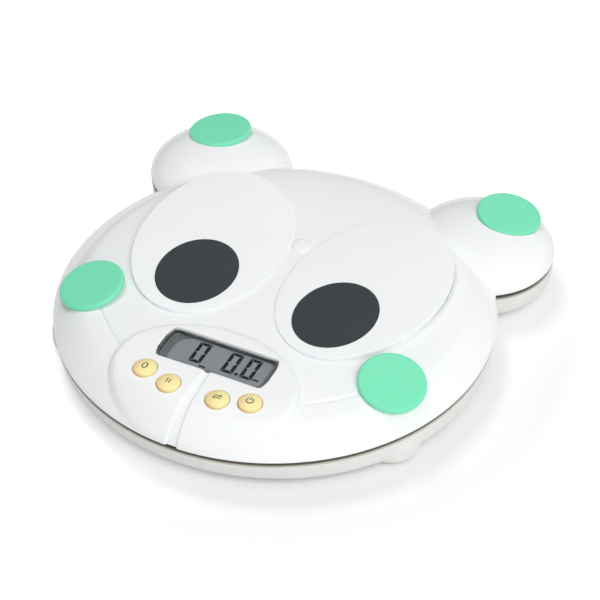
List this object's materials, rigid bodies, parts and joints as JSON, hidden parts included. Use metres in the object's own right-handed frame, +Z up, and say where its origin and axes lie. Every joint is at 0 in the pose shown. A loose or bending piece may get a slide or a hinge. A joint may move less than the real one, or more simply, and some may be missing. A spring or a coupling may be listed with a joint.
{
  "type": "digital baby weighing scale",
  "caption": "Low round weighing scale shaped like an animal head with ears: domed platform with foot plates, tray pads, display and push buttons, floating on load cells in a shallow base.",
  "frame": {"origin": "middle of the whole outline seen from above, on the floor that the rubber feet stand on", "axes": "+X to the right and +Y to the rear, seen by a user who faces the display; +Z up; the ears are at the rear"},
  "size_m": [0.308, 0.319, 0.0533],
  "materials": {
    "shell_white": "glossy injection-moulded white ABS",
    "plate_white": "fine matte texture",
    "grip_rubber": "matte dark grip patch",
    "pad_rubber": "smooth mint rubber",
    "clear_window": "clear polished window",
    "frame_dark": "dark grey-green mask",
    "panel_lcd": "grey liquid crystal panel",
    "black_rubber": "black conductive rubber",
    "circuit_green": "green solder mask",
    "resin_black": "black potting resin",
    "button_yellow": "soft glossy pale yellow",
    "steel": "plated steel",
    "switch_black": "moulded switch body",
    "base_grey": "satin warm grey-white",
    "foot_rubber": "matte grey rubber",
    "tray_white": "plain moulded white",
    "battery_wrap": "plain printed wrap",
    "ivory": "moulded connector body",
    "lead_red": "flat lead insulation",
    "lead_black": "lead insulation",
    "ribbon_grey": "flexible ribbon"
  },
  "bodies": {
    "base": {"base_shell": "base_grey", "front_left_load_cell": "steel", "front_right_load_cell": "steel", "rear_left_load_cell": "steel", "rear_right_load_cell": "steel", "load_cell_screws": "steel", "front_left_foot": "foot_rubber", "front_right_foot": "foot_rubber", "rear_left_foot": "foot_rubber", "rear_right_foot": "foot_rubber", "battery_tray": "tray_white", "battery_tray_screws": "steel", "batteries": "battery_wrap", "spring_contacts": "steel", "flat_contacts": "steel", "lead_junction": "ivory", "cell_leads": "lead_red", "battery_leads": "lead_black", "board_ribbon": "ribbon_grey"},
    "platform": {"platform_shell": "shell_white", "left_foot_plate": "plate_white", "right_foot_plate": "plate_white", "left_grip_patch": "grip_rubber", "right_grip_patch": "grip_rubber", "centre_plug": "shell_white", "left_cheek_pad": "pad_rubber", "right_cheek_pad": "pad_rubber", "left_ear_pad": "pad_rubber", "right_ear_pad": "pad_rubber", "display_window": "clear_window", "display_frame": "frame_dark", "display_panel": "panel_lcd", "display_contact_strips": "black_rubber", "main_board": "circuit_green", "controller_chip": "resin_black", "key_switches": "switch_black", "board_screws": "steel", "retaining_screws": "steel", "zero_button_spring": "steel", "hold_button_spring": "steel", "unit_button_spring": "steel", "power_button_spring": "steel"},
    "zero_key": {"zero_button": "button_yellow"},
    "hold_key": {"hold_button": "button_yellow"},
    "unit_key": {"unit_button": "button_yellow"},
    "power_key": {"power_button": "button_yellow"},
    "battery_door": {"battery_cover": "base_grey"}
  },
  "joints": [
    {"name": "platform_press", "type": "slide", "parent": "base", "child": "platform", "axis": [0, 0, -1], "range_m": [0, 0.0008], "stiffness_N_per_m": 100000, "springref_m": -0.0005, "deforming": ["front_left_load_cell", "front_right_load_cell", "rear_left_load_cell", "rear_right_load_cell", "board_ribbon"]},
    {"name": "zero_key_press", "type": "slide", "parent": "platform", "child": "zero_key", "axis": [0, 0, -1], "range_m": [0, 0.0009], "stiffness_N_per_m": 300, "springref_m": -0.001, "deforming": ["zero_button_spring"]},
    {"name": "hold_key_press", "type": "slide", "parent": "platform", "child": "hold_key", "axis": [0, 0, -1], "range_m": [0, 0.0009], "stiffness_N_per_m": 300, "springref_m": -0.001, "deforming": ["hold_button_spring"]},
    {"name": "unit_key_press", "type": "slide", "parent": "platform", "child": "unit_key", "axis": [0, 0, -1], "range_m": [0, 0.0009], "stiffness_N_per_m": 300, "springref_m": -0.001, "deforming": ["unit_button_spring"]},
    {"name": "power_key_press", "type": "slide", "parent": "platform", "child": "power_key", "axis": [0, 0, -1], "range_m": [0, 0.0009], "stiffness_N_per_m": 300, "springref_m": -0.001, "deforming": ["power_button_spring"]},
    {"name": "battery_door_slide", "type": "slide", "parent": "base", "child": "battery_door", "axis": [0, 1, 0], "range_m": [0, 0.018]}
  ]
}
